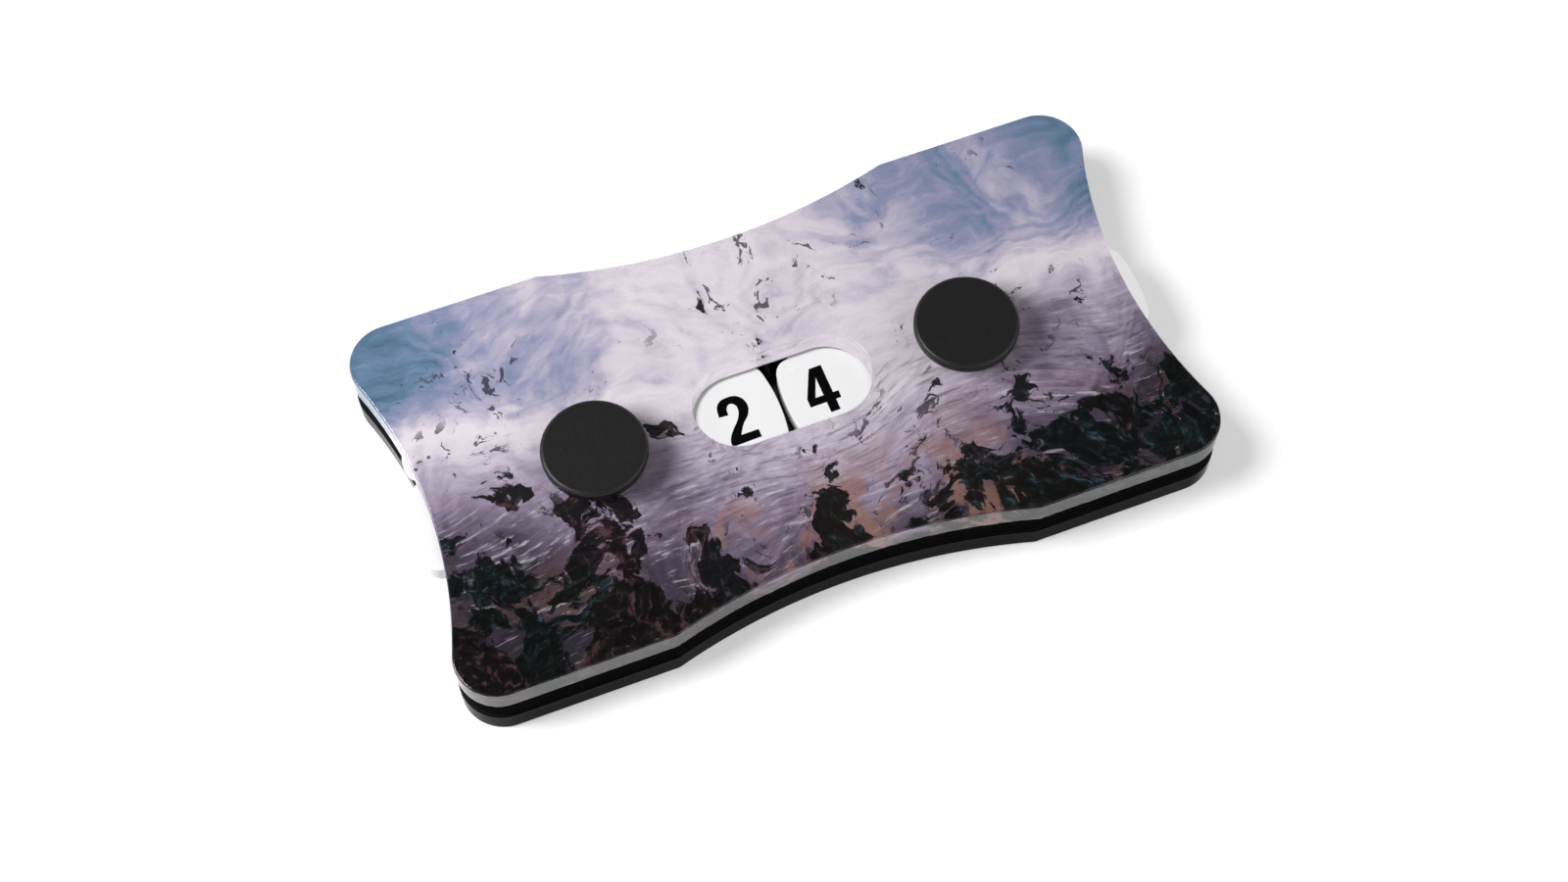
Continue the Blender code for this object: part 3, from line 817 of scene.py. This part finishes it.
near = step_up(across, *NEAR_SIDE)
drag = print_noise(stretched(first_fold, DRAG_STRETCH, DRAG_TURN), *DRAG_NOISE)
darkened = mixed(times(step_up(drag, *DARK_STREAKS), near), mist, paint(*DARK_STREAK))
streaked = mixed(times(step_up(drag, *PALE_STREAKS), near), darkened, paint(*PALE_STREAK))

# A dusk-like shade lies over the near side, with a wash of rose brown in it here and there.
SHADE_NOISE = (0.09, 4)
SHADE_BY_NOISE = (0.36, 0.56)
SHADE_BY_PLACE = (-13, -30, 0.74)
SHADE_GREY = (38, 36, 44)
ROSE_NOISE = (0.13, 5, 0.6)
ROSE_BY_NOISE = (0.45, 0.59, 0.72)
ROSE_BY_PLACE = (-7, -15)
ROSE_FADES_AT_ENDS = (14, 40, 0.8)
ROSE_BROWN = (146, 108, 96)

shade_spots = step_up(print_noise(second_fold, *SHADE_NOISE), *SHADE_BY_NOISE)
shaded = mixed(times(step_up(deep, *SHADE_BY_PLACE), shade_spots), streaked, paint(*SHADE_GREY))
rose_spots = step_up(print_noise(third_fold, *ROSE_NOISE), *ROSE_BY_NOISE)
middling = ink_maths("SUBTRACT", 1.0, step_up(off_middle, *ROSE_FADES_AT_ENDS))
rosy = times(times(rose_spots, step_up(across, *ROSE_BY_PLACE)), middling)
washed = mixed(rosy, shaded, paint(*ROSE_BROWN))

# Pools of nearly black ink with torn edges gather at the near side, some of them brown and some green.
# Their colours are given as the mist's are.
POOL_NOISE = (0.16, 9, 0.60)
POOLS_BY_DEPTH = (-5, -31, 0.235)
POOLS_BY_PLACE = (14, -8, 0.06)
POOL_EDGE = (0.675, 0.70, 0.97)
CURD_NOISE = (0.75, 7, 0.68)
GREEN_NOISE = (0.055, 3)
GREEN_EDGE = (0.45, 0.53)
BROWN_INKS = [
    (0.36, 3, 3, 3),
    (0.48, 6, 6, 6),
    (0.56, 26, 20, 22),
    (0.61, 70, 46, 46),
    (0.66, 76, 58, 68),
    (0.71, 44, 50, 74),
    (0.78, 10, 10, 12),
]
GREEN_INKS = [
    (0.36, 2, 5, 4),
    (0.48, 5, 9, 8),
    (0.56, 14, 23, 23),
    (0.62, 29, 47, 52),
    (0.67, 58, 78, 96),
    (0.72, 60, 64, 98),
    (0.79, 8, 16, 15),
]

gathering = ink_maths("ADD", step_up(deep, *POOLS_BY_DEPTH), step_up(across, *POOLS_BY_PLACE))
pooling = ink_maths("ADD", print_noise(third_fold, *POOL_NOISE), gathering)
curdled = print_noise(third_fold, *CURD_NOISE)
greened = step_up(print_noise(second_fold, *GREEN_NOISE), *GREEN_EDGE)
inks = mixed(greened, ramp(curdled, BROWN_INKS), ramp(curdled, GREEN_INKS))
pooled = mixed(step_up(pooling, *POOL_EDGE), washed, inks)

# Feathered veins of slate ink branch out round the pools and in a few places of the mist. Twigs are finer
# and blacker veins round the pools only, and there is some spatter.
VEIN_NOISE = (0.13, 5, 0.62)
VEIN_CRESTS = (1.98, 2.05, 0.85)
VEINS_NEAR_POOLS = (0.58, 0.65)
VEINS_OFF_POOLS = (0.70, 0.68)
VEIN_PLACE_NOISE = (0.055, 2)
VEINS_IN_MIST = (0.52, 0.62)
VEIN_SLATE = (48, 42, 56)
TWIG_NOISE = (0.42, 4, 0.6)
TWIG_CRESTS = (1.96, 2.04, 0.9)
TWIGS_NEAR_POOLS = (0.60, 0.66)
TWIG_BLACK = (22, 20, 25)
DOTS_PER_MILLIMETRE = 0.75
DOT_SIZE = (0.14, 0.08, 0.8)
DOT_PLACE_NOISE = (0.15, 2)
DOTS_IN_PLACES = (0.58, 0.66)

off_pools = step_up(pooling, *VEINS_OFF_POOLS)
round_pools = times(step_up(pooling, *VEINS_NEAR_POOLS), off_pools)
in_mist = step_up(print_noise(millimetres, *VEIN_PLACE_NOISE), *VEINS_IN_MIST)
feathering = ink_maths("MAXIMUM", round_pools, in_mist)
veins = times(step_up(ridged(third_fold, *VEIN_NOISE), *VEIN_CRESTS), feathering)
spots = new_node(film_tree, "ShaderNodeTexVoronoi", {"Vector": third_fold, "Scale": DOTS_PER_MILLIMETRE})
dotted = step_up(print_noise(millimetres, *DOT_PLACE_NOISE), *DOTS_IN_PLACES)
spatter = times(step_up(spots.outputs["Distance"], *DOT_SIZE), dotted)
feathered = mixed(ink_maths("MAXIMUM", veins, spatter), pooled, paint(*VEIN_SLATE))
twig_places = times(step_up(pooling, *TWIGS_NEAR_POOLS), off_pools)
twigs = times(step_up(ridged(third_fold, *TWIG_NOISE), *TWIG_CRESTS), twig_places)
veined = mixed(twigs, feathered, paint(*TWIG_BLACK))

# A fine grain of the printer's dots lies over it all.
GRAIN_NOISE = (7.0, 2)
GRAIN_DARKEST = 0.89
GRAIN_RISE = 0.22

grain = ink_maths("MULTIPLY_ADD", print_noise(millimetres, *GRAIN_NOISE), GRAIN_RISE, GRAIN_DARKEST)
grain_grey = new_node(film_tree, "ShaderNodeCombineColor", {0: grain, 1: grain, 2: grain}).outputs[0]
feed(film_finish, "Base Color", mixed(1.0, veined, grain_grey, "MULTIPLY"))

film_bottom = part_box("picture_film")[0][2]
cover_low, cover_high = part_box("cover_plate")
work = bmesh.new()
film_faces = []
for height in (film_bottom, cover_low[2] + FILM_BITE):
    loops = [sheet_loop(work, FILM_INSET, height), slot_loop(work, FILM_INSET, height)]
    loops += [round_loop(work, x, BARREL_HOLE_RADIUS + FILM_INSET, height) for x in (-AXLE_X, AXLE_X)]
    film_faces.append(loops)
for lower, upper in zip(*film_faces):
    wall(work, [lower, upper])
for loops in film_faces:
    flat_face(work, loops)
film = finished(work, "marbled_film", [film_finish], "case", ["picture_film"])
film.data.shade_flat()

# The cover is a sheet of clear 1/8 inch acrylic, laser-cut with the window and a hole for each post. The cut
# edges are bright and very finely lined, and their rims are softened by the heat.
CLEAR = (0.985, 0.99, 0.995, 1)
OPEN_TO_LIGHT = (0.96, 0.96, 0.96, 1)
COVER_LINE_DEPTH = 0.000004
COVER_ROUGHNESS = 0.02
RIM_BLUR = 2.0

cover_finish = new_finish("cover_acrylic", CLEAR, ACRYLIC_SHINE, COVER_ROUGHNESS)
cover_tree = cover_finish.node_tree
shader_of(cover_finish).inputs["Transmission Weight"].default_value = 1.0
add_cut_lines(cover_finish, COVER_LINE_DEPTH)
flat = levelness(cover_tree)
on_rim = maths(cover_tree, "MULTIPLY", flat, maths(cover_tree, "SUBTRACT", 1.0, flat))
feed(cover_finish, "Roughness", maths(cover_tree, "MULTIPLY_ADD", on_rim, RIM_BLUR, COVER_ROUGHNESS))

# Light reaches the print through the cover straight, so that it isn't dimmed twice.
ray = new_node(cover_tree, "ShaderNodeLightPath")
open_to_light = new_node(cover_tree, "ShaderNodeBsdfTransparent", {0: OPEN_TO_LIGHT})
cover_look = shader_of(cover_finish).outputs[0]
for kind in ("Is Shadow Ray", "Is Diffuse Ray"):
    links = {0: ray.outputs[kind], 1: cover_look, 2: open_to_light.outputs[0]}
    cover_look = new_node(cover_tree, "ShaderNodeMixShader", links).outputs[0]
cover_tree.links.new(cover_look, cover_tree.nodes["Material Output"].inputs["Surface"])

work = bmesh.new()
levels = rim_levels(cover_low[2], cover_high[2], SOFTENED_RIM, FILM_INSET)
rims = [wall(work, [sheet_loop(work, inset, height) for inset, height in levels])]
rims.append(wall(work, [slot_loop(work, inset, height) for inset, height in levels]))
for x in (-AXLE_X, AXLE_X):
    rims.append(turned_wall(work, x, [(BARREL_HOLE_RADIUS + inset, height) for inset, height in levels]))
for end in (0, 1):
    flat_face(work, [rim[end] for rim in rims])
finished(work, "clear_cover", [cover_finish], "case", ["cover_plate"])

# The posts are binding posts with wide flat caps, moulded in black nylon with a finely textured matte skin.
# The hollow barrel of each goes down through the sheets, and a slotted screw closes it from below.
CAP_RADIUS = 0.00632
CAP_THICKNESS = 0.0012
CAP_EDGE_RADIUS = 0.00050
CAP_EDGE_STEPS = 8
CAP_FOOT_RADIUS = 0.00012
CAP_FOOT_STEPS = 4
BARREL_RADIUS = 0.0025
BARREL_BORE_RADIUS = 0.0016
BARREL_ROOF = 0.0010
TURN_STEPS = 96
POST_BLACK = (0.0140, 0.0130, 0.0138, 1)
POST_SHINE = 0.31
POST_PATCHES = (2600, 4, 0.33, 0.43)
POST_GRAIN = (9000, 3, 0.000006)

post_finish = patchy_finish("matte_black_nylon", POST_BLACK, POST_SHINE, POST_PATCHES)
add_grain(post_finish, *POST_GRAIN)


def turned(work, x):
    """Spins the profile drawn in the XZ plane into a solid, and moves it to its axle."""
    drawn = drawn_since(work, set())
    bmesh.ops.spin(work, geom=drawn, axis=(0, 0, 1), angle=2 * math.pi, steps=TURN_STEPS, use_merge=True)
    bmesh.ops.remove_doubles(work, verts=work.verts, dist=MERGE)
    bmesh.ops.translate(work, verts=work.verts, vec=(x, 0, 0))


for side, x in (("left", -AXLE_X), ("right", AXLE_X)):
    low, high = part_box(side + "_post")
    top = high[2]
    foot = top - CAP_THICKNESS
    roof = foot - BARREL_ROOF
    edge_x = CAP_RADIUS - CAP_EDGE_RADIUS
    work = bmesh.new()
    tip = work.verts.new((0, 0, top))
    tip = drawn_line(work, tip, (edge_x - RIM_HOLD, 0, top))
    tip = drawn_line(work, tip, (edge_x, 0, top))
    edge_centre = (edge_x, 0, top - CAP_EDGE_RADIUS)
    tip = drawn_arc(work, tip, edge_centre, math.pi / 2, CAP_EDGE_STEPS, (0, 1, 0))
    tip = drawn_line(work, tip, (CAP_RADIUS, 0, foot + CAP_FOOT_RADIUS))
    foot_centre = (CAP_RADIUS - CAP_FOOT_RADIUS, 0, foot + CAP_FOOT_RADIUS)
    tip = drawn_arc(work, tip, foot_centre, math.pi / 2, CAP_FOOT_STEPS, (0, 1, 0))
    for radius, height in (
        (BARREL_RADIUS + RIM_HOLD, foot),
        (BARREL_RADIUS, foot),
        (BARREL_RADIUS, foot - RIM_HOLD),
        (BARREL_RADIUS, low[2] + RIM_HOLD),
        (BARREL_RADIUS, low[2]),
        (BARREL_BORE_RADIUS, low[2]),
        (BARREL_BORE_RADIUS, low[2] + RIM_HOLD),
        (BARREL_BORE_RADIUS, roof),
        (0, roof),
    ):
        tip = drawn_line(work, tip, (radius, 0, height))
    turned(work, x)
    finished(work, side + "_binding_post", [post_finish], "case", [side + "_post"])
    dress(side + "_screw", post_finish)

# The counter lies on a plain white floor that sweeps up into a white wall all round, one turned sheet of
# paper. The paper glows a little, less near the counter, so that it looks white and still takes the shadow.
FLOOR_RADIUS = 3.0
FLOOR_DROP = 0.00001
SWEEP_RADIUS = 0.8
SWEEP_STEPS = 12
WALL_HEIGHT = 2.2
FLOOR_WHITE = (0.93, 0.93, 0.93, 1)
GLOW_WHITE = (1, 1, 1, 1)
FLOOR_GLOW = 0.34
WALL_GLOW = 1.0
GLOW_RISES_FROM = 0.06
GLOW_RISES_TO = 0.60

paper_finish = new_finish("white_paper", FLOOR_WHITE, shine=0.0, roughness=0.9)
paper_tree = paper_finish.node_tree
shader_of(paper_finish).inputs["Emission Color"].default_value = GLOW_WHITE
ray = new_node(paper_tree, "ShaderNodeLightPath")
seen = maths(paper_tree, "ADD", ray.outputs["Is Camera Ray"], ray.outputs["Is Glossy Ray"])
seen_at_all = maths(paper_tree, "MAXIMUM", seen, ray.outputs["Is Transmission Ray"])
paper_place = new_node(paper_tree, "ShaderNodeTexCoord").outputs["Object"]
from_middle = new_node(paper_tree, "ShaderNodeVectorMath", {0: paper_place}, operation="LENGTH")
rising = {0: from_middle.outputs["Value"], 1: GLOW_RISES_FROM, 2: GLOW_RISES_TO, 3: FLOOR_GLOW, 4: WALL_GLOW}
evened = new_node(paper_tree, "ShaderNodeMapRange", rising).outputs[0]
feed(paper_finish, "Emission Strength", maths(paper_tree, "MULTIPLY", seen_at_all, evened))

work = bmesh.new()
tip = drawn_line(work, work.verts.new((0, 0, -FLOOR_DROP)), (FLOOR_RADIUS, 0, -FLOOR_DROP))
sweep_centre = (FLOOR_RADIUS, 0, SWEEP_RADIUS - FLOOR_DROP)
tip = drawn_arc(work, tip, sweep_centre, -math.pi / 2, SWEEP_STEPS, (0, 1, 0))
drawn_line(work, tip, (FLOOR_RADIUS + SWEEP_RADIUS, 0, WALL_HEIGHT))
turned(work, 0)
floor_mesh = bpy.data.meshes.new("floor")
work.to_mesh(floor_mesh)
work.free()
floor_mesh.materials.append(paper_finish)
floor = bpy.data.objects.new("floor", floor_mesh)
bpy.context.scene.collection.objects.link(floor)

# The light is a plain studio's: a wide soft lamp high on the left, a weaker one in front on the right, and a
# dim room. The camera stands in front and a little to the left, and looks down steeply.
ROOM_WHITE = (1, 1, 1, 1)
ROOM_LIGHT = 0.09
CAMERA_PLACE = (-0.0519, -0.13747, 0.28325)
CAMERA_LENS = 60.57
CAMERA_SENSOR = 36
CAMERA_NEAREST = 0.01
CAMERA_RIGHT = Vector((0.9340, -0.3574, -0.0018))
CAMERA_UP = Vector((0.3189, 0.8311, 0.4556))
CAMERA_BACK = Vector((-0.1613, -0.4261, 0.8902))

# Each lamp's direction and height in degrees, its distance and width, and its watts.
LAMPS = {
    "left_lamp": (165, 46, 0.40, 0.214, 1.67),
    "front_lamp": (-35, 48, 0.60, 0.56, 1.12),
}

room = bpy.data.worlds.new("room")
bpy.context.scene.world = room
room.use_nodes = True
room.node_tree.nodes["Background"].inputs[0].default_value = ROOM_WHITE
room.node_tree.nodes["Background"].inputs[1].default_value = ROOM_LIGHT

for name, (azimuth, elevation, distance, width, watts) in LAMPS.items():
    lamp = bpy.data.lights.new(name, "AREA")
    lamp.shape = "DISK"
    lamp.size = width
    lamp.energy = watts
    holder = bpy.data.objects.new(name, lamp)
    heading = Matrix.Rotation(math.radians(azimuth + 90), 4, "Z")
    tilt = Matrix.Rotation(math.radians(90 - elevation), 4, "X")
    holder.matrix_world = heading @ tilt @ Matrix.Translation((0, 0, distance))
    holder.visible_camera = False
    bpy.context.scene.collection.objects.link(holder)

lens = bpy.data.cameras.new("camera")
lens.lens = CAMERA_LENS
lens.sensor_width = CAMERA_SENSOR
lens.sensor_fit = "HORIZONTAL"
lens.clip_start = CAMERA_NEAREST
camera = bpy.data.objects.new("camera", lens)
turn = Matrix((CAMERA_RIGHT, CAMERA_UP, CAMERA_BACK)).transposed()
camera.matrix_world = Matrix.Translation(CAMERA_PLACE) @ turn.to_4x4()
bpy.context.scene.collection.objects.link(camera)
bpy.context.scene.camera = camera
bpy.context.scene.view_settings.view_transform = "Standard"
